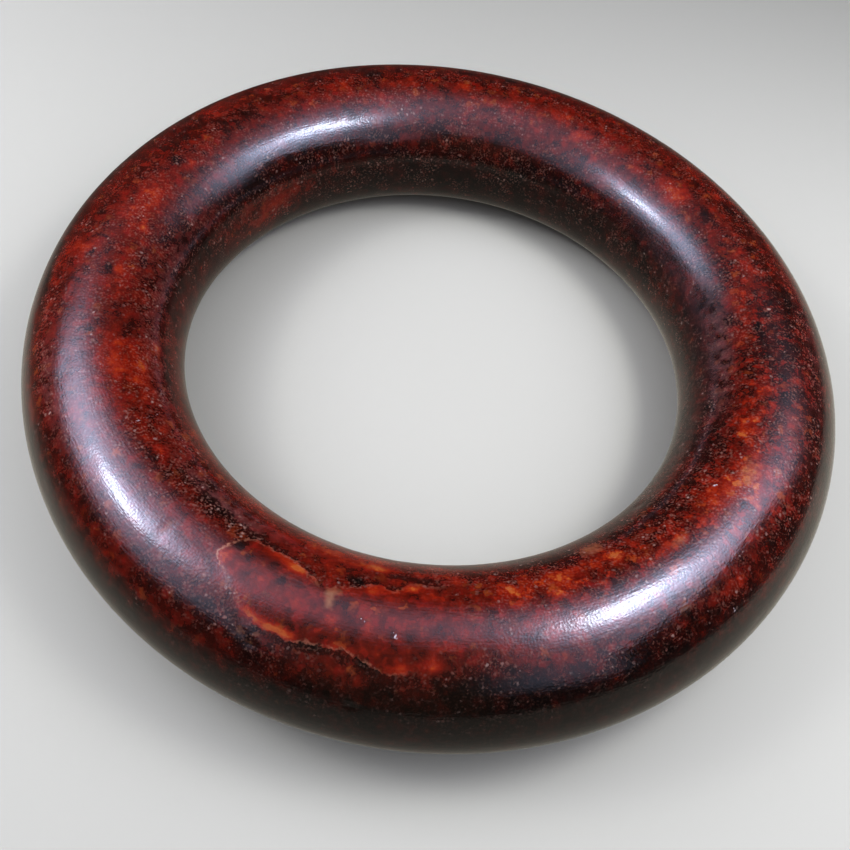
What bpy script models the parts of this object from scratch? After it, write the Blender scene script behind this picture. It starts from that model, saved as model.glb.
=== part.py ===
"""Jade bangle: one thick ring of round bar, ground and polished from a single piece of red-brown jade.

The bangle lies flat, as it lies when nobody wears it. +Z is up, the origin is the centre of
the circle that the bar rests on, and all lengths are in metres.
"""

from math import acos, atan2, cos, hypot, pi, radians, sin, sqrt

import bmesh
import bpy
from mathutils import Vector

# Driving sizes
WRIST_HOLE_DIAMETER = 0.0600
BAR_WIDTH = 0.0174
BAR_HEIGHT = 0.0178
RESTING_FACE_WIDTH = 0.0030

# Unevenness of hand grinding: the bar is a little thicker than its width on the side that
# SWELL_DIRECTION points to and on the side opposite, and thinner by as much in between
BAR_SWELL = 0.00012
SWELL_DIRECTION = radians(135)

# Facets of the solid
RING_STEPS = 96
SECTION_STEPS = 30

# Finish: Principled BSDF values of polished red-brown nephrite
JADE_COLOUR = (0.125, 0.016, 0.011, 1.0)
JADE_ROUGHNESS = 0.22
JADE_IOR = 1.61


def centre_line_radius():
    """Radius of the circle that runs along the middle of the bar."""
    return WRIST_HOLE_DIAMETER / 2 + BAR_WIDTH / 2


def section_radii():
    """Half width and half height of the oval that the bar's section is cut from.

    The resting face cuts off the oval's lowest part, so the oval is a little taller than the bar:
    BAR_HEIGHT = half_height * (1 + sqrt(1 - (half face / half width) ** 2)).
    """
    half_width = BAR_WIDTH / 2
    share_cut = RESTING_FACE_WIDTH / BAR_WIDTH
    half_height = BAR_HEIGHT / (1 + sqrt(1 - share_cut**2))
    return half_width, half_height


def section_points():
    """The bar's section in the XZ plane, at +X, with the resting face on z = 0.

    The points run round the oval from the face's outer corner, over the crown, to its inner corner.
    """
    half_width, half_height = section_radii()
    corner = acos(RESTING_FACE_WIDTH / BAR_WIDTH)
    first, last = -corner, pi + corner
    points = []
    for step in range(SECTION_STEPS + 1):
        angle = first + (last - first) * step / SECTION_STEPS
        x = centre_line_radius() + half_width * cos(angle)
        z = BAR_HEIGHT - half_height + half_height * sin(angle)
        points.append(Vector((x, 0, z)))
    points[0].z = points[-1].z = 0
    return points


def add_swell(ring):
    """Thickens and thins the bar about its centre line, and leaves the resting face on z = 0."""
    share = BAR_SWELL / (BAR_WIDTH / 2)
    for vertex in ring.verts:
        place = vertex.co
        direction = atan2(place.y, place.x)
        thickness = 1 + share * cos(2 * (direction - SWELL_DIRECTION))
        radius = hypot(place.x, place.y)
        swelled = centre_line_radius() + (radius - centre_line_radius()) * thickness
        place.x *= swelled / radius
        place.y *= swelled / radius
        place.z *= thickness


def ring_mesh(name):
    """Spins the bar's section once round +Z, closes it on itself and adds the swell."""
    ring = bmesh.new()
    corners = [ring.verts.new(point) for point in section_points()]
    edges = [ring.edges.new(pair) for pair in zip(corners, corners[1:] + corners[:1])]
    bmesh.ops.spin(
        ring,
        geom=corners + edges,
        cent=(0, 0, 0),
        axis=(0, 0, 1),
        angle=2 * pi,
        steps=RING_STEPS,
        use_merge=True,
    )
    add_swell(ring)
    bmesh.ops.recalc_face_normals(ring, faces=ring.faces)
    mesh = bpy.data.meshes.new(name)
    ring.to_mesh(mesh)
    ring.free()
    mesh.shade_smooth()
    mesh.set_sharp_from_angle(angle=radians(20))
    return mesh


def jade():
    """Polished nephrite: dark red-brown, with a waxy shine."""
    material = bpy.data.materials.new("polished_jade")
    material.use_nodes = True
    shader = material.node_tree.nodes["Principled BSDF"]
    shader.inputs["Base Color"].default_value = JADE_COLOUR
    shader.inputs["Roughness"].default_value = JADE_ROUGHNESS
    shader.inputs["Metallic"].default_value = 0
    shader.inputs["IOR"].default_value = JADE_IOR
    return material


for old in list(bpy.data.objects):
    bpy.data.objects.remove(old)

bangle = bpy.data.objects.new("bangle", ring_mesh("bangle"))
bangle.data.materials.append(jade())
bpy.context.scene.collection.objects.link(bangle)
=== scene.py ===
"""Looks of the jade bangle: a thick ring of dark red-brown stone that lies flat on a pale floor."""

import bpy
import numpy as np
from mathutils import Matrix


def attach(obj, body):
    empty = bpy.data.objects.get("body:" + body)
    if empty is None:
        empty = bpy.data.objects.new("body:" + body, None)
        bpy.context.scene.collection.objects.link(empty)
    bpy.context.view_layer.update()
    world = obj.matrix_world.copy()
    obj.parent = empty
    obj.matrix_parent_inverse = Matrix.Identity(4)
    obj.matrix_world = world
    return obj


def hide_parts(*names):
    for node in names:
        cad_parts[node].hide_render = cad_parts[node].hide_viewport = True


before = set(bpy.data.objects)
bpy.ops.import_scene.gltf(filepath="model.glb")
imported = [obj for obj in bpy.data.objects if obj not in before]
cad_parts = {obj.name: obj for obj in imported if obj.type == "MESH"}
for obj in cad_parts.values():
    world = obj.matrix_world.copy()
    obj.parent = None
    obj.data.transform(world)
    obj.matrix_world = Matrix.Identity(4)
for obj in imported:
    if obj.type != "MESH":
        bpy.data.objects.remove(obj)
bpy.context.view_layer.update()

# The camera
# The bangle is seen from close by, nearly 60 degrees down, with the hand that holds the camera a
# little tilted. The picture is square, so the lens covers as much across as it does up and down.
LENS_PLACE = (0.000085, -0.0645, 0.08938)
LOOK_DOWN = np.radians(57.01)
HAND_TILT = np.radians(9.77)
SENSOR_WIDTH = 36.0
FOCAL_LENGTH = 35.79
NEAREST_SEEN = 0.005
CONTRAST = 0.85


def looking_down(down, tilt):
    """Turn of a camera that looks along +Y, is tipped down by one angle and rolled by another.

    Its right is level and its up leans back by the tip; the roll then mixes the two by sine and cosine.
    """
    level = np.array([1, 0, 0])
    upward = np.array([0, np.sin(down), np.cos(down)])
    right = np.cos(tilt) * level + np.sin(tilt) * upward
    up = np.cos(tilt) * upward - np.sin(tilt) * level
    return Matrix(np.column_stack([right, up, np.cross(right, up)]).tolist())


camera = bpy.data.objects.new("camera", bpy.data.cameras.new("camera"))
camera.data.sensor_width = SENSOR_WIDTH
camera.data.lens = FOCAL_LENGTH
camera.data.clip_start = NEAREST_SEEN
camera.matrix_world = Matrix.Translation(LENS_PLACE) @ looking_down(LOOK_DOWN, HAND_TILT).to_4x4()
bpy.context.scene.collection.objects.link(camera)
bpy.context.scene.camera = camera
bpy.context.scene.view_settings.view_transform = "Standard"
bpy.context.scene.view_settings.gamma = CONTRAST

# The floor and the backdrop
# A plain pale sheet that the bangle lies on. It lies flat, and fades into the backdrop's own
# pale grey far from the bangle, so that no edge shows from any side.
FLOOR_RADIUS = 0.60
FLOOR_RINGS, FLOOR_TURNS = 61, 97
RINGS_CLOSE_IN = 1.6
FLOOR_COLOUR = "#b8af9a"
BACKDROP_COLOUR = "#c4c4c2"
ROOM_TINT = "#e1edff"
ROOM_GLOW = 0.03
FADE_FROM, FADE_TO = 0.14, 0.50

# In the polish the sheet shows as a painted reflection: a glow as dark as the ground close by,
# where it lies in the shade of the bangle and of the hand, so it carries painted shade. The
# brightness of that glow, by direction: amid the hole, at the hole's edge, just outside the bangle
# and farther out
MIRROR_TINT = "#fff9eb"
MIRROR_STRENGTH = 1.06
MIRROR_ANGLES = (0, 30, 60, 90, 120, 150, 180, 210, 240, 270, 300, 330, 360)
MIRRORED_MIDDLE = (0.30, 0.20, 0.15, 0.20, 0.15, 0.15, 0.20, 0.30, 0.40, 0.36, 0.40, 0.40, 0.30)
MIRRORED_EDGE = (0.40, 0.46, 0.26, 0.22, 0.22, 0.22, 0.30, 0.32, 0.36, 0.36, 0.36, 0.36, 0.40)
MIRRORED_NEAR = (0.66, 0.62, 0.34, 0.13, 0.05, 0.11, 0.52, 0.56, 0.37, 0.28, 0.32, 0.52, 0.66)
MIRRORED_FAR = (0.74, 0.46, 0.18, 0.08, 0.03, 0.08, 0.13, 0.25, 0.19, 0.25, 0.32, 0.49, 0.74)
MIDDLE_TO_EDGE = (0.012, 0.024)
EDGE_TO_NEAR = (0.030, 0.048)
NEAR_TO_FAR = (0.060, 0.105)


def linear(hex_colour):
    """Linear red, green, blue and full alpha of an sRGB hex colour, by the sRGB curve."""
    shares = np.array([int(hex_colour[i : i + 2], 16) for i in (1, 3, 5)]) / 255
    toe, shoulder = shares / 12.92, ((shares + 0.055) / 1.055) ** 2.4
    return (*np.where(shares <= 0.04045, toe, shoulder).tolist(), 1.0)


def node(tree, kind, inputs=(), **settings):
    """Adds a node with its settings.

    Each input, by name or number, gets a value or another node's output.
    """
    made = tree.nodes.new("ShaderNode" + kind)
    for name, setting in settings.items():
        setattr(made, name, setting)
    for key, value in dict(inputs).items():
        named = [s for s in made.inputs if s.name == key and s.enabled]
        socket = named[0] if named else made.inputs[key]
        if isinstance(value, bpy.types.Node):
            value = next(s for s in value.outputs if s.enabled)
        if isinstance(value, bpy.types.NodeSocket):
            tree.links.new(value, socket)
        else:
            socket.default_value = value
    return made


def new_tree(owner):
    """The owner's node tree, emptied."""
    owner.use_nodes = True
    owner.node_tree.nodes.clear()
    return owner.node_tree


def smooth_step(value, low, high):
    """0 below low, 1 above high, and the usual smooth cubic in between."""
    share = np.clip((value - low) / (high - low), 0, 1)
    return share * share * (3 - 2 * share)


def grid_mesh(name, points, closed):
    """A mesh of four-sided faces over a grid of points.

    Each face joins four neighbours. Closed also joins the last row and column to the first.
    """
    rows, columns = points.shape[:2]
    numbers = np.arange(rows * columns).reshape(rows, columns)
    if closed:
        numbers = np.pad(numbers, ((0, 1), (0, 1)), mode="wrap")
    corners = [numbers[:-1, :-1], numbers[1:, :-1], numbers[1:, 1:], numbers[:-1, 1:]]
    faces = np.stack(corners, -1).reshape(-1, 4)
    mesh = bpy.data.meshes.new(name)
    mesh.from_pydata(points.reshape(-1, 3).tolist(), [], faces.tolist())
    mesh.shade_smooth()
    return mesh


def give(mesh, name, values):
    """Stores one number or one vector for each of the mesh's points."""
    kind, key = ("FLOAT_VECTOR", "vector") if values.ndim == 3 else ("FLOAT", "value")
    attribute = mesh.attributes.new(name, kind, "POINT")
    attribute.data.foreach_set(key, values.astype(np.float32).ravel())


def put(name, mesh, material):
    """An object at the origin that shows the mesh in one material."""
    piece = bpy.data.objects.new(name, mesh)
    piece.data.materials.append(material)
    bpy.context.scene.collection.objects.link(piece)
    return piece


backdrop = bpy.data.worlds.new("backdrop")
bpy.context.scene.world = backdrop
tree = new_tree(backdrop)
glow = node(tree, "Background", {"Color": linear(ROOM_TINT), "Strength": ROOM_GLOW})
paper = node(tree, "Background", {"Color": linear(BACKDROP_COLOUR), "Strength": 1.0})
seen = node(tree, "LightPath").outputs["Is Camera Ray"]
shown = node(tree, "MixShader", {0: seen, 1: glow, 2: paper})
node(tree, "OutputWorld", {"Surface": shown})

# Pale matt sheet: it sends light back evenly, with no shine of its own. In the polish it shows
# instead as a painted reflection glow, with painted shade near the bangle
sheet = bpy.data.materials.new("pale_sheet_with_painted_reflection")
tree = new_tree(sheet)
place = node(tree, "TexCoord").outputs["Object"]
reach = node(tree, "VectorMath", {0: place}, operation="LENGTH").outputs["Value"]
fade = node(tree, "MapRange", {"Value": reach, "From Min": FADE_FROM, "From Max": FADE_TO})
matt = node(tree, "BsdfDiffuse", {"Color": linear(FLOOR_COLOUR)})
painted_reflection_brightness = node(tree, "Attribute", attribute_name="painted_reflection_brightness").outputs["Fac"]
painted_reflection_glow = node(tree, "Emission", {"Color": linear(MIRROR_TINT), "Strength": painted_reflection_brightness})
in_polish = node(tree, "LightPath").outputs["Is Glossy Ray"]
surface = node(tree, "MixShader", {0: in_polish, 1: matt, 2: painted_reflection_glow})
clear = node(tree, "BsdfTransparent")
node(tree, "OutputMaterial", {"Surface": node(tree, "MixShader", {0: fade, 1: surface, 2: clear})})

rings = (np.linspace(0, 1, FLOOR_RINGS) ** RINGS_CLOSE_IN * FLOOR_RADIUS)[:, None]
turns = np.linspace(0, 2 * np.pi, FLOOR_TURNS)[None, :]
floor_points = np.stack([rings * np.cos(turns), rings * np.sin(turns), 0 * rings * turns], -1)
floor_mesh = grid_mesh("floor", floor_points, closed=False)
brightness = np.interp(np.degrees(turns), MIRROR_ANGLES, MIRRORED_MIDDLE) + 0 * rings
outward = [(MIRRORED_EDGE, MIDDLE_TO_EDGE), (MIRRORED_NEAR, EDGE_TO_NEAR)]
outward.append((MIRRORED_FAR, NEAR_TO_FAR))
for by_direction, (begin, end) in outward:
    there = np.interp(np.degrees(turns), MIRROR_ANGLES, by_direction)
    brightness = brightness + (there - brightness) * smooth_step(rings, begin, end)
give(floor_mesh, "painted_reflection_brightness", MIRROR_STRENGTH * brightness)
floor = put("floor", floor_mesh, sheet)

# The lights
# A ceiling of white light-spreading sheet close above the bangle, brightest where two lamps stand
# behind it, and dark in front of a soft edge. It isn't seen, only its light and its reflection.
PANEL_X = (-0.90, 0.34)
PANEL_Y = (-0.34, 0.22)
PANEL_COLUMNS, PANEL_ROWS = 160, 74
PANEL_ABOVE_LAMPS = 0.001
LEFT_LAMP = (-0.155, -0.026, 0.179)
RIGHT_LAMP = (0.076, -0.006, 0.145)
LEFT_LAMP_RADIUS, RIGHT_LAMP_RADIUS = 0.030, 0.024
LAMP_RADIANCE = 14.0
LAMP_TINT = "#e7f3ff"
PANEL_TINT = "#d4dfff"
EVEN_RADIANCE = 1.0
# Bright places of the ceiling: radiance, middle, and half sizes across and along
BRIGHT_PLACES = [
    (14.6, -0.153, -0.022, 0.052, 0.034),
    (7.8, -0.142, 0.069, 0.076, 0.055),
    (16.3, 0.082, -0.001, 0.028, 0.039),
    (8.1, 0.125, 0.058, 0.089, 0.083),
    (6.3, -0.258, 0.045, 0.130, 0.162),
    (1.4, 0.160, -0.081, 0.045, 0.071),
]
# Its front edge: where it is, how far it leans back to the left of a place, and how soft it is
FRONT_EDGE_Y = 0.045
FRONT_EDGE_LEAN = 0.235
LEANS_FROM_X = -0.030
FRONT_EDGE_BLUR = 0.028
LEFT_FADE_TO_X, NEAR_FADE_TO_Y = -0.30, -0.18


def panel_height(x):
    """Height of the ceiling above a place: the straight line through the two lamps, a little over them."""
    slope = (RIGHT_LAMP[2] - LEFT_LAMP[2]) / (RIGHT_LAMP[0] - LEFT_LAMP[0])
    return LEFT_LAMP[2] + slope * (x - LEFT_LAMP[0]) + PANEL_ABOVE_LAMPS


def panel_glow(x, y):
    """Radiance of the ceiling: an even part plus the bright places, cut off by the soft front edge.

    A place is its radiance times e to the minus square of the distance in half sizes. The edge
    divides by 1 plus e to the distance past it in blurs. The left and near sides fade out.
    """
    glow = EVEN_RADIANCE + 0 * x
    for radiance, middle_x, middle_y, half_x, half_y in BRIGHT_PLACES:
        distance = ((x - middle_x) / half_x) ** 2 + ((y - middle_y) / half_y) ** 2
        glow = glow + radiance * np.exp(-distance)
    edge = FRONT_EDGE_Y - FRONT_EDGE_LEAN * np.minimum(x - LEANS_FROM_X, 0)
    glow = glow / (1 + np.exp((y - edge) / FRONT_EDGE_BLUR))
    return glow * smooth_step(x, PANEL_X[0], LEFT_FADE_TO_X) * smooth_step(y, PANEL_Y[0], NEAR_FADE_TO_Y)


across, along = np.meshgrid(np.linspace(*PANEL_X, PANEL_COLUMNS), np.linspace(*PANEL_Y, PANEL_ROWS))
panel_mesh = grid_mesh("panel", np.stack([across, along, panel_height(across)], -1), closed=False)
give(panel_mesh, "glow", panel_glow(across, along))

# White sheet lit from behind: it gives out cool light alike in all directions
lit_sheet = bpy.data.materials.new("lit_white_sheet")
tree = new_tree(lit_sheet)
glow = node(tree, "Attribute", attribute_name="glow").outputs["Fac"]
lit = node(tree, "Emission", {"Color": linear(PANEL_TINT), "Strength": glow})
node(tree, "OutputMaterial", {"Surface": lit})
panel = put("light_panel", panel_mesh, lit_sheet)
panel.visible_camera = False


def lamp(name, place, radius):
    """A round soft lamp that points down. Its power is its radiance times its area times pi."""
    light = bpy.data.lights.new(name, "AREA")
    light.shape = "DISK"
    light.size = 2 * radius
    light.energy = LAMP_RADIANCE * np.pi**2 * radius**2
    light.color = linear(LAMP_TINT)[:3]
    item = bpy.data.objects.new(name, light)
    item.location = place
    bpy.context.scene.collection.objects.link(item)


lamp("lamp_left", LEFT_LAMP, LEFT_LAMP_RADIUS)
lamp("lamp_right", RIGHT_LAMP, RIGHT_LAMP_RADIUS)

# The dark cards round the lens
# The hand-held camera and the hand hide part of the ceiling from the stone. A dim card a little
# before the lens and a black one to the right stand for them. They show only in the polish, where
# they paint its reflection dark, the dim one with a painted faint glow: neither is seen or throws a
# shadow.
LENS_CARD_WIDTH = (-0.045, 0.033)
LENS_CARD_HEIGHT = (-0.110, 0.017)
LENS_CARD_BEFORE = 0.031
LENS_CARD_GLOW = 0.12
HAND_CARD_X = 0.110
HAND_CARD_Y = (-0.115, 0.024)
HAND_CARD_Z = (0.020, 0.110)
HAND_CARD_GLOW = 0.0
CARD_STEPS = 25
SOFT_RIM = 0.022
CARD_TINT = "#ffe2c8"


def dark_card(name, corner, side, rise, glow):
    """A flat card from one corner along two edges, that thins out to nothing over a soft rim.

    How solid it is goes by smooth steps of the distance to its nearer edges, multiplied. It has no
    shading of its own: it is dark, with only a painted faint glow for the room's light on it.
    """
    across, along = np.meshgrid(*[np.linspace(0, 1, CARD_STEPS)] * 2)
    points = corner + across[..., None] * side + along[..., None] * rise
    solid = smooth_step(np.minimum(across, 1 - across) * np.linalg.norm(side), 0, SOFT_RIM)
    solid = solid * smooth_step(np.minimum(along, 1 - along) * np.linalg.norm(rise), 0, SOFT_RIM)
    mesh = grid_mesh(name, points, closed=False)
    give(mesh, "solid", solid)
    material = bpy.data.materials.new("dark_card_with_painted_glow")
    tree = new_tree(material)
    solid = node(tree, "Attribute", attribute_name="solid").outputs["Fac"]
    painted_faint_glow = node(tree, "Emission", {"Color": linear(CARD_TINT), "Strength": glow})
    clear = node(tree, "BsdfTransparent")
    node(tree, "OutputMaterial", {"Surface": node(tree, "MixShader", {0: solid, 1: clear, 2: painted_faint_glow})})
    card = put(name, mesh, material)
    card.visible_camera = card.visible_diffuse = card.visible_shadow = False


right, up, behind = np.array(looking_down(LOOK_DOWN, HAND_TILT)).T
corner = np.array(LENS_PLACE) - LENS_CARD_BEFORE * behind
corner = corner + LENS_CARD_WIDTH[0] * right + LENS_CARD_HEIGHT[0] * up
side, rise = np.ptp(LENS_CARD_WIDTH) * right, np.ptp(LENS_CARD_HEIGHT) * up
dark_card("lens_card", corner, side, rise, LENS_CARD_GLOW)
corner = np.array([HAND_CARD_X, HAND_CARD_Y[0], HAND_CARD_Z[0]])
side, rise = np.array([0, np.ptp(HAND_CARD_Y), 0]), np.array([0, 0, np.ptp(HAND_CARD_Z)])
dark_card("hand_card", corner, side, rise, HAND_CARD_GLOW)

# The bangle's shape
# One ring of thick round bar, sawn from a block of jade, ground round by hand and polished. It has
# a narrow rubbed face underneath, faint waves from the grinding, shallow pits, and a smooth
# tongue-shaped patch on the near side whose edge stands a hair above the stone round it.
MILLIMETRE = 0.001
CENTRE_LINE_RADIUS = 38.7
BAR_WIDTH, BAR_HEIGHT = 17.4, 17.8
RESTING_FACE_WIDTH = 3.0
BAR_SWELL = 0.12
SWELL_DIRECTION = np.radians(135)
RING_STEPS, SECTION_STEPS = 560, 176
# Heights over the floor between which the relief comes in
KEPT_FLAT, FULL_RELIEF = 0.2, 1.5
# Millimetres in a degree round the ring, and in one round the bar
DEGREE_ALONG, DEGREE_ACROSS = 0.675, 0.154

HALF_WIDTH = BAR_WIDTH / 2
HALF_HEIGHT = BAR_HEIGHT / (1 + np.sqrt(1 - (RESTING_FACE_WIDTH / BAR_WIDTH) ** 2))

# Places on the stone are given by two angles in degrees: round the ring, from the right and on
# by the far side, and round the bar, from outside (0) over the crown (90) to inside (180)
TONGUE_OUTLINE = [
    (245.5, 85.5), (244.8, 90), (245, 93.5), (245.7, 101), (247, 109.5), (249, 110.5), (252.5, 110),
    (255.4, 109), (257, 105.5), (260, 99), (262, 102.5), (263.9, 105), (265.8, 109), (267.2, 112.7),
    (269.3, 110), (270.3, 109), (271.4, 115), (272.5, 117.5), (276, 115.5), (279.6, 123), (284, 118),
    (287, 100), (286, 80), (279, 66), (276, 60), (274.6, 61), (273.2, 62.5), (272.2, 59), (270.1, 60),
    (267.6, 64), (265.3, 68), (263.5, 67), (261, 65.5), (258.6, 63.3), (256.4, 64.6), (254, 63.4),
    (253.4, 66.8), (251.7, 67.5), (250.5, 73), (249.2, 76), (248, 80), (246.9, 83),
]
TONGUE_FADE = (266, 280)
TONGUE_STEP = 0.04
STEP_EDGE = (-0.3, 0.4)

around = np.linspace(0, 2 * np.pi, RING_STEPS, endpoint=False)[:, None]
round_bar = np.linspace(-np.pi / 2, 3 * np.pi / 2, SECTION_STEPS, endpoint=False)[None, :]
ring_angle = np.degrees(around) + 0 * round_bar
bar_angle = np.degrees(round_bar) + 0 * around


def away(ring_place, bar_place):
    """Millimetres from one place to every point of the ring, along the ring and round the bar."""
    turn = (ring_angle - ring_place + 180) % 360 - 180
    reach = np.radians(1) * (CENTRE_LINE_RADIUS + HALF_WIDTH * np.cos(np.radians(bar_angle)))
    return turn * reach, ((bar_angle - bar_place + 180) % 360 - 180) * DEGREE_ACROSS


def patches(places):
    """Sum of soft spots, each an amount times e to the minus square of the distance in half sizes.

    A spot is its place, its half length and half width in degrees, and its amount.
    """
    total = np.zeros(ring_angle.shape)
    for ring_place, bar_place, half_length, half_width, amount in places:
        x, y = away(ring_place, bar_place)
        x, y = x / (half_length * DEGREE_ALONG), y / (half_width * DEGREE_ACROSS)
        total += amount * np.exp(-x * x - y * y)
    return total


def depth_inside(outline):
    """Millimetres from each point to an outline of places, positive inside it.

    The ring is laid flat. The distance is the least one to the outline's sides, and a point is
    inside if a line drawn from it crosses the sides an odd number of times.
    """
    x, y = ring_angle * DEGREE_ALONG, bar_angle * DEGREE_ACROSS
    corners = np.array(outline) * (DEGREE_ALONG, DEGREE_ACROSS)
    nearest, inside = np.full(x.shape, 1e9), np.zeros(x.shape, bool)
    for (x0, y0), (x1, y1) in zip(corners, np.roll(corners, -1, axis=0)):
        share = ((x - x0) * (x1 - x0) + (y - y0) * (y1 - y0)) / ((x1 - x0) ** 2 + (y1 - y0) ** 2)
        share = np.clip(share, 0, 1)
        nearest = np.minimum(nearest, np.hypot(x - x0 - share * (x1 - x0), y - y0 - share * (y1 - y0)))
        if y1 != y0:
            crosses = (y0 > y) != (y1 > y)
            inside ^= crosses & (x < x0 + (y - y0) * (x1 - x0) / (y1 - y0))
    return np.where(inside, nearest, -nearest)


tongue = depth_inside(TONGUE_OUTLINE)
tongue_there = 1 - smooth_step(ring_angle, *TONGUE_FADE)

# Grinding waves: height in millimetres, then how many go round the ring and round the bar, each
# with its shift
WAVES = [(0.014, 3, 1.0, 2, 0.4), (0.010, 7, 2.1, 3, 1.1 + np.pi / 2), (0.006, 16, 0.6, 5, 2.0)]
relief = TONGUE_STEP * smooth_step(tongue, *STEP_EDGE) * tongue_there
for height, ring_waves, ring_shift, bar_waves, bar_shift in WAVES:
    along_ring = np.sin(ring_waves * around + ring_shift)
    relief = relief + height * along_ring * np.sin(bar_waves * round_bar + bar_shift)

# Chips that show: place, then half length, half width and depth in millimetres
CHIPS = [
    (253.0, 57, 0.7, 0.35, 0.10),
    (254.4, 53, 0.6, 0.4, 0.12),
    (252.3, 63, 0.5, 0.3, 0.08),
    (267.4, 36, 0.6, 0.35, 0.10),
    (237.4, 82, 0.4, 1.1, 0.05),
    (328.0, 110, 0.35, 0.3, 0.08),
    (219.0, 108, 0.35, 1.6, 0.05),
    (318.5, 150, 0.6, 0.5, 0.10),
]
for ring_place, bar_place, half_length, half_width, depth in CHIPS:
    x, y = away(ring_place, bar_place)
    relief = relief - depth * np.exp(-((x / half_length) ** 2) - (y / half_width) ** 2)

# Small shallow pits, thrown at random all over the stone but the tongue, in millimetres
PIT_COUNT = 320
PIT_SEED = 7
PIT_BAR_ANGLES = (-80, 260)
PIT_HALF_WIDTH = (0.35, 0.8)
PIT_STRETCH = (1.0, 2.0)
PIT_DEPTH = (0.008, 0.03)
PITS_END = (-0.2, 0.4)
pitted = 1 - smooth_step(tongue, *PITS_END) * tongue_there
chance = np.random.default_rng(PIT_SEED)
for _ in range(PIT_COUNT):
    x, y = away(chance.uniform(0, 360), chance.uniform(*PIT_BAR_ANGLES))
    half_width = chance.uniform(*PIT_HALF_WIDTH)
    half_length = half_width * chance.uniform(*PIT_STRETCH)
    depth = chance.uniform(*PIT_DEPTH)
    relief = relief - depth * pitted * np.exp(-((x / half_length) ** 2) - (y / half_width) ** 2)


def ring_points(relief):
    """The bar's oval section carried round the ring, cut off flat at the floor, plus the relief.

    The section is half_width * cos out from the centre line and half_height * sin up from the
    oval's middle. The swell scales both by 1 + share * cos(2 * (direction - swell direction)).
    Relief pushes each point along the oval's own outward direction, less near the resting face.
    """
    out = HALF_WIDTH * np.cos(round_bar)
    up = BAR_HEIGHT - HALF_HEIGHT + HALF_HEIGHT * np.sin(round_bar)
    facing = np.hypot(np.cos(round_bar) / HALF_WIDTH, np.sin(round_bar) / HALF_HEIGHT)
    relief = relief * smooth_step(up, KEPT_FLAT, FULL_RELIEF)
    out = out + relief * np.cos(round_bar) / HALF_WIDTH / facing
    up = up + relief * np.sin(round_bar) / HALF_HEIGHT / facing
    swell = 1 + BAR_SWELL / HALF_WIDTH * np.cos(2 * (around - SWELL_DIRECTION))
    radius = CENTRE_LINE_RADIUS + out * swell
    height = np.maximum(up * swell, 0)
    return np.stack([radius * np.cos(around), radius * np.sin(around), height], -1)


points = ring_points(relief)
bangle_mesh = grid_mesh("bangle_jade", points * MILLIMETRE, closed=True)
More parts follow.
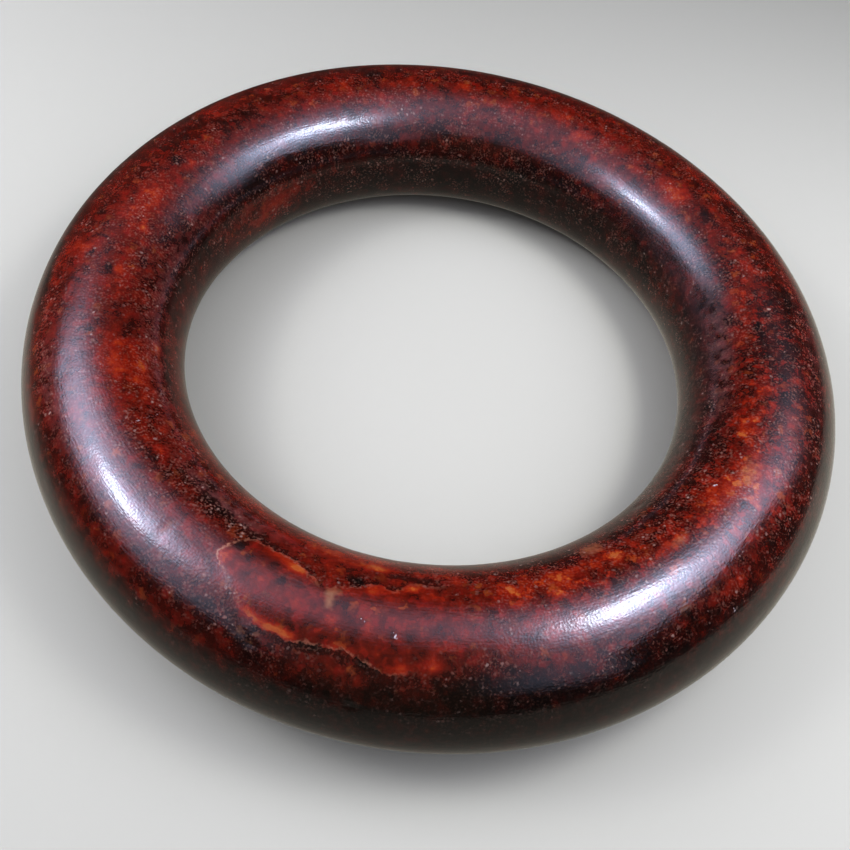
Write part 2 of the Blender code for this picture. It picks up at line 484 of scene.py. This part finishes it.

# The jade's own colours, with painted shade low down, painted shadow by the tongue's step and
# painted glints laid in
# Nephrite, soaked dark red-brown by long burial and handling: near black to crimson, with clouds
# of orange and amber where it is clearer, and a carpet of tiny pale flecks and dark pits.

# Clouds: how much warmer, or darker where below nought, the stone is there
CLOUDS = [
    (4, 120, 2, 6, 0.30), (12, 118, 3.5, 7, 0.28), (19, 100, 4.5, 9, 0.22), (37, 80, 1.5, 6, 0.18),
    (44, 78, 1.5, 6, 0.15), (42.5, 110, 3, 8, 0.36), (52, 114, 1.2, 5, 0.25), (3, 98, 1.3, 3, 0.18),
    (56, 153, 2.5, 4, 0.15), (28, 182, 2, 8, 0.10), (11.5, 77, 2.5, 4, -0.25), (4, 107, 2, 3, -0.25),
    (34, 102, 2.5, 4, -0.25), (67, 115, 1.5, 5, 0.28), (72, 102, 3, 7, 0.25), (86, 106, 3.5, 6, 0.18),
    (94, 98, 2.5, 7, 0.26), (106, 101, 1.5, 4, 0.25), (119, 97, 1.5, 8, 0.25), (81, 85, 1.2, 5, -0.28),
    (85, 73, 1.2, 7, -0.28), (98.5, 103, 1, 4, -0.25), (112.5, 81, 2, 9, -0.25), (105, 152, 3, 8, 0.22),
    (133, 76, 1.5, 6, 0.22), (144.5, 72, 3, 12, 0.22), (152, 102, 3, 12, 0.25), (158, 107, 1.2, 5, 0.22),
    (170, 102, 7, 12, 0.24), (159, 97, 1, 5, -0.30), (140, 173, 6, 12, 0.28), (149.5, 182, 3, 10, 0.22),
    (153, 162, 2, 6, 0.22), (177, 111, 1.2, 4, 0.15), (183, 77, 2, 10, 0.20), (186.5, 106, 1.7, 6, 0.25),
    (207, 107, 3, 6, 0.22), (210, 121, 3.5, 6, 0.25), (203, 138, 3, 4, 0.20), (208, 105, 8, 18, 0.14),
    (209.5, 62, 1, 2, 0.30), (226, 111, 1.3, 4, 0.25), (187, 98, 1.5, 3, -0.25), (184, 83, 1, 2.5, -0.25),
    (188, 152, 7, 9, -0.20), (206, 145, 7, 5, -0.18), (226, 103, 2, 4, -0.22), (240, 113, 6, 5, -0.22),
    (286, 108, 4, 12, 0.22), (287, 111, 1.5, 4, 0.25), (294.5, 112, 1.8, 8, 0.28), (303, 131, 2, 7, 0.42),
    (305, 115, 1.2, 5, 0.34), (308.5, 108, 0.8, 7, 0.22), (315, 102, 2, 3, 0.34), (309, 68, 1, 3, 0.18),
    (317.5, 60, 3.5, 6, 0.34), (326, 105, 3.5, 10, 0.36), (333, 98, 4, 10, 0.40), (341.5, 108, 4.5, 7, 0.28),
    (352, 106, 3, 6, 0.22), (346, 82, 1.8, 6, 0.14), (353.5, 87, 2, 5, 0.16), (323.5, 42, 3.5, 8, 0.14),
    (305, 18, 1.2, 7, 0.14), (326.5, 90, 1, 2, -0.40), (265.5, 55, 4, 7, 0.20), (274.5, 54, 2, 6, 0.24),
    (256, 125, 9, 9, 0.08), (248, 60, 9, 7, -0.14), (283, 57, 8, 7, -0.10), (176, 110, 0.7, 3, 0.40),
    (187, 100.3, 0.8, 3, -0.40), (203, 110, 0.8, 4, 0.35), (207.7, 124.6, 0.6, 3, 0.30),
    (202, 139, 1, 3, 0.25), (172, 156, 4, 8, -0.25), (186, 48, 6, 5, -0.25), (187, 56, 6, 2, 0.20),
    (340, 114, 4, 3, 0.15),
    # on the tongue and round it
    (246, 90, 1, 5, 0.25), (246.5, 94.5, 0.6, 2.5, 0.25), (246.8, 100.4, 0.9, 3, -0.45),
    (248.5, 96.4, 1, 4, -0.20), (250.7, 99.3, 1.5, 5, -0.12), (252.7, 100.3, 1.2, 4, -0.15),
    (254.9, 94.1, 1, 4, -0.35), (254.5, 105, 1.2, 2, 0.30), (255.9, 104.8, 1, 3, 0.40),
    (252.2, 69.9, 0.8, 3, 0.30), (254.3, 67.1, 1.4, 3, 0.35), (256.5, 67.5, 1.2, 2.5, 0.30),
    (258.1, 66.3, 1.1, 2.5, 0.45), (258.1, 71.7, 2, 4, -0.15), (262.7, 81.3, 1, 5, 0.30),
    (260.1, 84, 1.2, 3, 0.20), (272.1, 63.5, 1.6, 3.5, 0.45), (275.9, 65.3, 1, 3, 0.50),
    (275.9, 68, 1.4, 6, 0.25), (272.5, 113.5, 1.5, 3, 0.35), (268, 108, 2, 3, 0.15),
    (266, 105, 2.5, 5, 0.15), (279.4, 121.8, 1, 3, 0.40), (278.1, 78, 1.3, 3, 0.25),
    (276.6, 76, 0.8, 2, 0.20), (267, 127, 1.6, 3.5, 0.55), (262, 116.7, 1, 3, -0.20),
    (264.2, 111.4, 1.6, 2, -0.40), (273.1, 122, 3.5, 2, -0.35), (266.5, 141, 1.8, 5, 0.25),
]
# Broad lighter and darker stretches, on the same scale
STRETCHES = [
    (290, 35, 45, 22, -0.10), (200, 42, 30, 14, 0.20), (150, 94, 11, 16, -0.18), (30, 82, 14, 12, -0.08),
    (15, 130, 20, 14, -0.10), (30, 130, 12, 8, -0.08), (140, 134, 30, 14, -0.10), (80, 165, 45, 18, -0.12),
    (100, 190, 50, 25, -0.12), (240, 148, 25, 12, 0.22), (265, 138, 14, 8, 0.18), (200, 160, 20, 20, 0.18),
    (60, 84, 14, 10, -0.05), (315, 105, 8, 8, 0.10), (300, 94, 10, 9, -0.12), (240, 108, 8, 10, -0.06),
    (320, 62, 25, 10, -0.14), (240, 40, 20, 12, 0.22), (152, 178, 12, 16, 0.20), (282, 56, 30, 10, -0.16),
    (200, 54, 22, 12, 0.08), (140, 92, 50, 22, -0.02), (335, 82, 12, 12, 0.06), (300, 16, 14, 8, 0.12),
    (120, 108, 9, 8, 0.16), (180, 108, 10, 8, 0.08), (300, 118, 9, 6, 0.14), (262, 130, 12, 8, 0.12),
    (300, 131, 12, 7, -0.14), (330, 130, 14, 9, -0.10), (210, 130, 10, 10, 0.12), (325, 44, 14, 7, 0.08),
    (150, 154, 14, 8, -0.14), (0, 118, 12, 6, -0.04), (0, 90, 20, 24, -0.20), (186, 106, 16, 12, -0.04),
    (256, 86, 9, 14, 0.05), (0, 62, 20, 10, -0.06),
]
# How warm the stone is round the bar before the clouds, darkest low down on both sides: that
# darkening low down is painted shade, where the light from above falls less
BAR_ANGLES = (-90, 22, 36, 46, 62, 100, 126, 146, 170, 200, 270)
BAR_WARMTH_AND_SHADE = (0.10, 0.10, 0.14, 0.22, 0.44, 0.49, 0.45, 0.32, 0.28, 0.24, 0.10)
warmth_and_shade = np.interp(bar_angle, BAR_ANGLES, BAR_WARMTH_AND_SHADE) + patches(STRETCHES) + patches(CLOUDS)
give(bangle_mesh, "warmth_and_shade", warmth_and_shade)

# Where the stone looks crushed: rounded lumps with dark seams in between, most of all on the right
LUMPY_ALL_OVER = 0.33
LUMPY_PLACES = [
    (325, 100, 35, 35, 0.55), (298, 112, 16, 22, 0.35), (350, 100, 25, 30, 0.25), (10, 105, 20, 20, 0.25),
    (262, 92, 18, 26, 0.20), (170, 100, 25, 20, 0.15), (90, 100, 40, 20, 0.15), (270, 30, 60, 20, -0.15),
]
give(bangle_mesh, "lumpiness", np.clip(LUMPY_ALL_OVER + patches(LUMPY_PLACES), 0, 1))

# Milky rose in the tongue's clear stone
MILKY_PLACES = [
    (251, 86, 3.5, 12, 0.16), (257, 90, 5, 12, 0.08), (247, 92, 1.5, 8, 0.14), (265, 90, 8, 12, 0.05),
    (275, 88, 10, 10, 0.04), (346, 84, 2.5, 6, 0.25),
]
give(bangle_mesh, "milky", np.clip(patches(MILKY_PLACES), 0, 1))

# Tan knots and the bare stone in chips
TAN_PLACES = [
    (261.4, 96.5, 0.6, 5, 0.85), (261.8, 90, 0.6, 4, 0.65), (262.4, 99.5, 0.7, 1.5, 0.50),
    (237.4, 82, 0.5, 8, 0.50), (309, 68, 1, 3, 0.50), (254.2, 53.9, 0.7, 2, 0.50),
    (252.8, 58.1, 0.5, 3, 0.50), (254.7, 59.3, 0.6, 1.5, 0.50), (303, 131, 1.8, 6, 0.80),
    (305, 115, 1, 4, 0.30), (333, 98, 2.5, 7, 0.50), (82, 164, 2, 4, 0.15), (315, 102, 1.5, 3, 0.30),
    (314.7, 102.4, 1.2, 2, 0.30),
]
give(bangle_mesh, "tan", np.clip(patches(TAN_PLACES), 0, 1))

# Grey haze in patches, most on the right inner wall
HAZE_PLACES = [
    (5, 137, 17, 9, 0.34), (240, 120, 9, 5, 0.20), (205, 136, 16, 9, 0.12), (208, 60, 9, 6, 0.24),
    (0, 66, 16, 8, 0.08), (180, 142, 12, 8, 0.10),
]
give(bangle_mesh, "haze", np.clip(patches(HAZE_PLACES), 0, 1))

# Where the hand's polish is duller: low on the inner side, on the right
DULL_PLACES = [(5, 156, 34, 16, 0.24)]
give(bangle_mesh, "dullness", patches(DULL_PLACES))

# How thick the pale flecks lie: few low on the outer side, more from there over the crown. Hardly
# any lie on the smooth tongue and on two places beside it, each a place, half sizes and a share
FLECKS_LOW, FLECKS_MORE = 0.18, 0.47
FLECKS_MORE_FROM = (38, 60)
SMOOTH_EDGE, SMOOTH_END = (-0.05, 0.25), (272, 290)
SMOOTH_PLACES = [(257, 128, 8, 2.2, 0.8), (265, 56, 4, 1.2, 0.6)]
FLECK_PLACES = [
    (240, 113, 7, 6, 0.35), (195, 52, 12, 8, 0.60), (332, 148, 30, 16, 0.40), (168, 134, 13, 16, 0.35),
    (230, 108, 11, 12, 0.30), (250, 57, 12, 8, 0.25), (135, 88, 16, 24, -0.20), (208, 105, 8, 18, -0.15),
    (275, 55, 16, 9, -0.30), (350, 90, 20, 20, 0.12), (75, 92, 26, 20, -0.20), (30, 98, 14, 14, -0.10),
    (325, 105, 20, 20, 0.20), (350, 108, 25, 12, -0.10), (210, 58, 10, 8, 0.40), (0, 70, 16, 10, 0.25),
    (200, 132, 25, 10, 0.30), (0, 132, 14, 8, 0.30), (218, 116, 14, 10, 0.30),
]
smooth_zone = smooth_step(tongue, *SMOOTH_EDGE) * (1 - smooth_step(ring_angle, *SMOOTH_END))
for ring_place, bar_place, half_length, half_width, share in SMOOTH_PLACES:
    x, y = away(ring_place, bar_place)
    there = share * np.exp(-((x / half_length) ** 4) - (y / half_width) ** 4)
    smooth_zone = np.maximum(smooth_zone, there)
fleck_share = FLECKS_LOW + FLECKS_MORE * smooth_step(bar_angle, *FLECKS_MORE_FROM)
fleck_share = (fleck_share + patches(FLECK_PLACES)) * (1 - 0.9 * smooth_zone)
give(bangle_mesh, "fleck_share", np.clip(fleck_share, 0, 1.2))

# The tongue's edge: where it has a pale hair line, an orange glow inside it, and a dark groove
# outside that is painted shadow at the foot of its step
PALE_EDGE = [
    (245.5, 92, 2.5, 14, 1.0), (252, 109, 5, 5, 0.40), (258, 103, 3, 6, 0.25), (264, 104, 4, 5, 0.15),
    (270, 110, 4, 5, 0.2), (275, 116, 3, 4, 0.2), (264, 66, 5, 5, 0.45), (260, 64, 2, 3, 0.3),
    (271.5, 59.5, 2.5, 3, 0.3), (268, 64, 2, 3, 0.3), (250, 74, 1.5, 5, 0.6),
]
WARM_EDGE = [
    (253, 67, 3, 6, 0.9), (257, 65, 3, 5, 0.7), (264, 68, 6, 5, 0.5), (272, 61, 3, 5, 0.8),
    (254, 107, 3, 5, 0.8), (270, 112, 5, 5, 0.7), (246, 90, 2, 8, 0.5),
]
EDGE_SHADOW_PLACES = [
    (251, 113, 5, 6, 1.0), (257.5, 107, 3, 6, 1.0), (264, 109, 4, 5, 0.8), (270, 114, 4, 6, 0.5),
    (262, 64, 5, 4, 0.9), (256, 62, 3, 3, 0.6), (268, 62, 3, 4, 0.7),
]
give(bangle_mesh, "tongue_depth", np.clip(tongue, -3, 3))
give(bangle_mesh, "pale_edge", np.clip(patches(PALE_EDGE), 0, 1))
give(bangle_mesh, "warm_edge", np.clip(patches(WARM_EDGE), 0, 1))
give(bangle_mesh, "edge_shadow", np.clip(patches(EDGE_SHADOW_PLACES), 0, 1))

# The lay of the polish: a place to read fine scratches from, with the way round the ring drawn in
# to a sixth, so that they come out six times as long as wide. It is four numbers, so that it closes
POLISH_DRAWN_IN = 1 / 6
ring_reach = CENTRE_LINE_RADIUS * POLISH_DRAWN_IN
lay = [ring_reach * np.cos(around) + 0 * round_bar, ring_reach * np.sin(around) + 0 * round_bar]
lay.append(HALF_WIDTH * np.cos(round_bar) + 0 * around)
give(bangle_mesh, "polish_lay", np.stack(lay, -1))
give(bangle_mesh, "polish_lay_w", HALF_WIDTH * np.sin(round_bar) + 0 * around)

# Polished nephrite, refractive index 1.61: a waxy but clear shine over dark stone. Hand polishing
# leaves it a little rough, with scratches too fine to see but for the broken glints
JADE_IOR = 1.61
MILKY_ROSE, GREY_HAZE_COLOUR, TAN = "#76382c", "#74605c", "#885a3a"
CRIMSON, AMBER = "#6c0e0b", "#8c4a1c"
DULL_FLECK, PALE_FLECK, SPECK, PIT_SHADE = "#784e40", "#a88c7a", "#86604e", "#120403"
HAIR_LINE, GLINT_AND_SCRATCH_WHITE = "#96644a", "#b8a8a0"
jade = bpy.data.materials.new("polished_red_jade")
tree = new_tree(jade)
metres = node(tree, "TexCoord").outputs["Object"]
place = node(tree, "VectorMath", {0: metres, "Scale": 1 / MILLIMETRE}, operation="SCALE")
given = {}
stored = ["warmth_and_shade", "lumpiness", "milky", "tan", "haze", "dullness", "fleck_share"]
stored += ["tongue_depth", "pale_edge", "warm_edge", "edge_shadow"]
for name in stored:
    given[name] = node(tree, "Attribute", attribute_name=name).outputs["Fac"]

# Mottling: 5 mm clouds, 1.3 mm blotches and 0.35 mm grain, each a share warmer or darker
clouds = node(tree, "TexNoise", {"Vector": place, "Scale": 0.20, "Detail": 1, "Roughness": 0.5})
blotches = node(tree, "TexNoise", {"Vector": place, "Scale": 0.80, "Detail": 1, "Roughness": 0.62})
grain = node(tree, "TexNoise", {"Vector": place, "Scale": 2.8, "Detail": 1, "Roughness": 0.6})
mottling = given["warmth_and_shade"]
for noise, share in ((clouds, 0.35), (blotches, 0.64), (grain, 0.11)):
    middle = node(tree, "Math", {0: noise, 1: -0.5}, operation="ADD")
    mottling = node(tree, "Math", {0: middle, 1: share, 2: mottling}, operation="MULTIPLY_ADD")

# Lumps: rounded grains 0.6 to 1 mm across, bent out of true by 0.2 mm. Each has a warmth of its
# own, which fades from its middle to a dark seam
BENT_BY = 1.5
BENT_ASIDE = BENT_BY / 2
bend = node(tree, "TexNoise", {"Vector": place, "Scale": 1.6, "Detail": 1, "Roughness": 0.7})
bent = {0: bend.outputs["Color"], 1: (BENT_BY,) * 3, 2: place}
bent = node(tree, "VectorMath", bent, operation="MULTIPLY_ADD")
lumps = node(tree, "TexVoronoi", {"Vector": bent, "Scale": 1.15, "Randomness": 1.0})
lump_own = node(tree, "SeparateColor", {"Color": lumps.outputs["Color"]})
lump_warmth = node(tree, "MapRange", {"Value": lump_own.outputs["Red"], "To Min": 0.0, "To Max": 0.42})
lump_round = node(tree, "MapRange", {"Value": lumps.outputs["Distance"], "From Min": 0.74, "From Max": 0.34})
lump = node(tree, "Math", {0: lump_warmth, 1: lump_round, 2: -0.12}, operation="MULTIPLY_ADD")
mottling = node(tree, "Math", {0: lump, 1: given["lumpiness"], 2: mottling}, operation="MULTIPLY_ADD")

# The tongue's edge wanders by a quarter of a millimetre, warm just inside and darkened just
# outside by painted shadow
wander = node(tree, "Math", {0: bend, 1: -0.5}, operation="ADD")
depth = node(tree, "Math", {0: wander, 1: 0.9, 2: given["tongue_depth"]}, operation="MULTIPLY_ADD")


def along_edge(outer, inner, where):
    """Share of a band along the tongue's edge, by the depth inside it in millimetres.

    It is a ramp up over the outer pair of depths, times a ramp down over the inner pair, times the
    attribute that says where it shows.
    """
    ramp_up = node(tree, "MapRange", {"Value": depth, "From Min": outer[0], "From Max": outer[1]})
    ramp_down = node(tree, "MapRange", {"Value": depth, "From Min": inner[1], "From Max": inner[0]})
    band = node(tree, "Math", {0: ramp_up, 1: ramp_down}, operation="MULTIPLY")
    return node(tree, "Math", {0: band, 1: given[where]}, operation="MULTIPLY")


glow = along_edge((-0.05, 0.10), (0.20, 1.00), "warm_edge")
# The groove's darkening is painted shadow at the foot of the tongue's step
painted_groove_shadow = along_edge((-0.90, -0.15), (-0.10, 0.05), "edge_shadow")
for band, share in ((glow, 0.30), (painted_groove_shadow, -0.30)):
    mottling = node(tree, "Math", {0: band, 1: share, 2: mottling}, operation="MULTIPLY_ADD")

# The stone's shades, from the darkest to the warmest
SHADES = [
    (0.00, "#0e0301"),
    (0.12, "#1d0502"),
    (0.28, "#330903"),
    (0.50, "#571206"),
    (0.66, "#701808"),
    (0.80, "#85240c"),
    (0.90, "#903412"),
    (1.00, "#9c4e20"),
]
ramp = node(tree, "ValToRGB", {"Fac": mottling})
while len(ramp.color_ramp.elements) < len(SHADES):
    ramp.color_ramp.elements.new(0.5)
for element, (at, shade) in zip(ramp.color_ramp.elements, SHADES):
    element.position = at
    element.color = linear(shade)

# Where the stone is warm, some lumps are crimson and a few are amber
clearer = node(tree, "MapRange", {"Value": mottling, "From Min": 0.28, "From Max": 0.60})
clearer = node(tree, "Math", {0: clearer, 1: lump_round}, operation="MULTIPLY")
lump_kind = lump_own.outputs["Green"]
crimson = {"Value": lump_kind, "From Min": 0.55, "From Max": 0.95, "To Max": 0.45}
crimson = node(tree, "MapRange", crimson)
crimson = node(tree, "Math", {0: crimson, 1: clearer}, operation="MULTIPLY")
colour = node(tree, "Mix", {"Factor": crimson, "A": ramp, "B": linear(CRIMSON)}, data_type="RGBA")
amber = node(tree, "MapRange", {"Value": lump_kind, "From Min": 0.12, "From Max": 0.02, "To Max": 0.4})
amber = node(tree, "Math", {0: amber, 1: clearer}, operation="MULTIPLY")
colour = node(tree, "Mix", {"Factor": amber, "A": colour, "B": linear(AMBER)}, data_type="RGBA")

# Milky stone, then the grey haze, patchy as the blotches are, and tan with a wandering edge
milky = {"Factor": given["milky"], "A": colour, "B": linear(MILKY_ROSE)}
colour = node(tree, "Mix", milky, data_type="RGBA")
haze = node(tree, "MapRange", {"Value": blotches, "From Min": 0.35, "From Max": 0.60})
haze = node(tree, "Math", {0: haze, 1: given["haze"]}, operation="MULTIPLY")
colour = node(tree, "Mix", {"Factor": haze, "A": colour, "B": linear(GREY_HAZE_COLOUR)}, data_type="RGBA")
tan = node(tree, "Math", {0: wander, 1: 0.8, 2: given["tan"]}, operation="MULTIPLY_ADD")
tan = node(tree, "MapRange", {"Value": tan, "From Min": 0.15, "From Max": 0.85, "To Max": 0.75})
colour = node(tree, "Mix", {"Factor": tan, "A": colour, "B": linear(TAN)}, data_type="RGBA")

# Flecks: pale grains 0.2 to 0.45 mm across, a little out of round, each with a colour and a strength
# of its own, and among them still fainter specks and dark pits of painted shade. They lie thicker in
# drifts of 2 mm
drift = node(tree, "TexNoise", {"Vector": place, "Scale": 0.45, "Detail": 1})
drift = node(tree, "MapRange", {"Value": drift, "From Min": 0.38, "From Max": 0.62, "To Min": 0.25})
thick = node(tree, "Math", {0: drift, 1: given["fleck_share"]}, operation="MULTIPLY")
NUDGED_BY = 0.35
nudged = {0: bend.outputs["Color"], 1: (NUDGED_BY,) * 3, 2: place}
nudged = node(tree, "VectorMath", nudged, operation="MULTIPLY_ADD")
grains = node(tree, "TexVoronoi", {"Vector": nudged, "Scale": 2.4, "Randomness": 1.0})
own = node(tree, "SeparateColor", {"Color": grains.outputs["Color"]})
size = node(tree, "MapRange", {"Value": own.outputs["Blue"], "To Min": 0.22, "To Max": 0.56})
spot = node(tree, "Math", {0: size, 1: grains.outputs["Distance"]}, operation="SUBTRACT")
spot = node(tree, "Math", {0: spot, 1: 3.6}, operation="MULTIPLY", use_clamp=True)
strength = {"Value": own.outputs["Red"], "From Min": 0.20, "From Max": 1.0, "To Max": 1.15}
strength = node(tree, "MapRange", strength)
strength = node(tree, "Math", {0: strength, 1: thick}, operation="MULTIPLY")
strength = node(tree, "Math", {0: strength, 1: spot}, operation="MULTIPLY")
pale = node(tree, "Math", {0: own.outputs["Green"], 1: 3.5}, operation="POWER")
fleck = {"Factor": pale, "A": linear(DULL_FLECK), "B": linear(PALE_FLECK)}
fleck = node(tree, "Mix", fleck, data_type="RGBA")
colour = node(tree, "Mix", {"Factor": strength, "A": colour, "B": fleck}, data_type="RGBA")

speckle = node(tree, "TexNoise", {"Vector": place, "Scale": 4.4, "Detail": 0})
speck_and_glint = node(tree, "MapRange", {"Value": speckle, "From Min": 0.53, "From Max": 0.76, "To Max": 0.45})
speck_and_glint = node(tree, "Math", {0: speck_and_glint, 1: thick}, operation="MULTIPLY")
colour = node(tree, "Mix", {"Factor": speck_and_glint, "A": colour, "B": linear(SPECK)}, data_type="RGBA")
# Dark pits: painted shade, laid where the speckle bump is lowest and roughest
pit_shade = node(tree, "MapRange", {"Value": speckle, "From Min": 0.44, "From Max": 0.26, "To Max": 0.3})
pit_shade = node(tree, "Math", {0: pit_shade, 1: given["fleck_share"]}, operation="MULTIPLY")
colour = node(tree, "Mix", {"Factor": pit_shade, "A": colour, "B": linear(PIT_SHADE)}, data_type="RGBA")

# The pale hair line along the tongue's edge, broken here and there
hair = along_edge((-0.10, 0.04), (0.10, 0.30), "pale_edge")
broken = node(tree, "MapRange", {"Value": grain, "From Min": 0.40, "From Max": 0.55, "To Min": 0.10})
hair = node(tree, "Math", {0: hair, 1: broken}, operation="MULTIPLY")
colour = node(tree, "Mix", {"Factor": hair, "A": colour, "B": linear(HAIR_LINE)}, data_type="RGBA")


def on_stone(ring_place, bar_place):
    """Millimetres to a place on the plain ring: the bar's section at that angle, turned round the ring."""
    turn, lift = np.radians(ring_place), np.radians(bar_place)
    radius = CENTRE_LINE_RADIUS + HALF_WIDTH * np.cos(lift)
    height = BAR_HEIGHT - HALF_HEIGHT + HALF_HEIGHT * np.sin(lift)
    return np.array([radius * np.cos(turn), radius * np.sin(turn), height])


# Painted glints: single white specks put in the colour where the polish catches the light, each a
# place and a size in millimetres across
PAINTED_GLINTS = [
    (271.0, 80.6, 0.34), (270.6, 82.2, 0.22), (266.4, 86.5, 0.20), (315.6, 48.0, 0.26),
    (328.0, 110.0, 0.40), (327.4, 111.6, 0.26),
]
glints_and_scratches = 0.0
for ring_place, bar_place, across in PAINTED_GLINTS:
    ends = {0: bent, 1: on_stone(ring_place, bar_place) + BENT_ASIDE}
    reach = node(tree, "VectorMath", ends, operation="DISTANCE").outputs["Value"]
    speck_and_glint = node(tree, "MapRange", {"Value": reach, "From Min": across / 2 + 0.06, "From Max": across / 5})
    glints_and_scratches = node(tree, "Math", {0: glints_and_scratches, 1: speck_and_glint}, operation="MAXIMUM")

# Long pale scratches, straight from place to place, with their width in millimetres. The distance
# to one is the distance to the nearest point between its ends
SCRATCHES = [
    ((219.8, 98.0), (218.1, 128.0), 0.20), ((234.5, 117.5), (244.5, 117.5), 0.16),
    ((182.3, 131.0), (183.4, 152.0), 0.14),
]
dashes = node(tree, "MapRange", {"Value": grain, "From Min": 0.46, "From Max": 0.58})
for begin, end, across in SCRATCHES:
    first, last = on_stone(*begin), on_stone(*end)
    whole = last - first
    gone = node(tree, "VectorMath", {0: place, 1: first}, operation="SUBTRACT")
    along_it = {0: gone, 1: whole / (whole @ whole)}
    share = node(tree, "VectorMath", along_it, operation="DOT_PRODUCT").outputs["Value"]
    share = node(tree, "Math", {0: share, 1: 0.0}, operation="ADD", use_clamp=True)
    nearest = node(tree, "VectorMath", {0: whole, "Scale": share}, operation="SCALE")
    reach = node(tree, "VectorMath", {0: gone, 1: nearest}, operation="DISTANCE").outputs["Value"]
    line = node(tree, "MapRange", {"Value": reach, "From Min": across / 2 + 0.03, "From Max": across / 4})
    line = node(tree, "Math", {0: line, 1: dashes}, operation="MULTIPLY")
    glints_and_scratches = node(tree, "Math", {0: line, 1: 0.4, 2: glints_and_scratches}, operation="MULTIPLY_ADD")
# The white of the painted glints and of the pale scratches
colour = node(tree, "Mix", {"Factor": glints_and_scratches, "A": colour, "B": linear(GLINT_AND_SCRATCH_WHITE)}, data_type="RGBA")

# Bump: pits a few thousandths of a millimetre deep, and polishing scratches 0.2 mm apart, drawn
# coarser than they are so that they show. The fine pits are also a little rougher
BUMP_DEPTH = 0.000013
ROUGHER, SMOOTHER = 0.20, 0.10
polish_lay = node(tree, "Attribute", attribute_name="polish_lay").outputs["Vector"]
polish_lay_w = node(tree, "Attribute", attribute_name="polish_lay_w").outputs["Fac"]
lay_place = {"Vector": polish_lay, "W": polish_lay_w, "Scale": 4.5, "Detail": 1, "Roughness": 0.6}
scratches = node(tree, "TexNoise", lay_place, noise_dimensions="4D")
relief = node(tree, "Math", {0: speckle, 1: 0.6, 2: scratches}, operation="MULTIPLY_ADD")
fine_bump = node(tree, "Bump", {"Height": relief, "Strength": 1.0, "Distance": BUMP_DEPTH})
roughness = {"Value": speckle, "From Min": 0.3, "From Max": 0.7, "To Min": ROUGHER, "To Max": SMOOTHER}
roughness = node(tree, "MapRange", roughness)
roughness = node(tree, "Math", {0: roughness, 1: given["dullness"]}, operation="ADD")

polish = {"Base Color": colour, "IOR": JADE_IOR, "Roughness": roughness, "Normal": fine_bump}
node(tree, "OutputMaterial", {"Surface": node(tree, "BsdfPrincipled", polish)})

bangle = put("bangle_jade", bangle_mesh, jade)
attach(bangle, "root")
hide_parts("bangle")
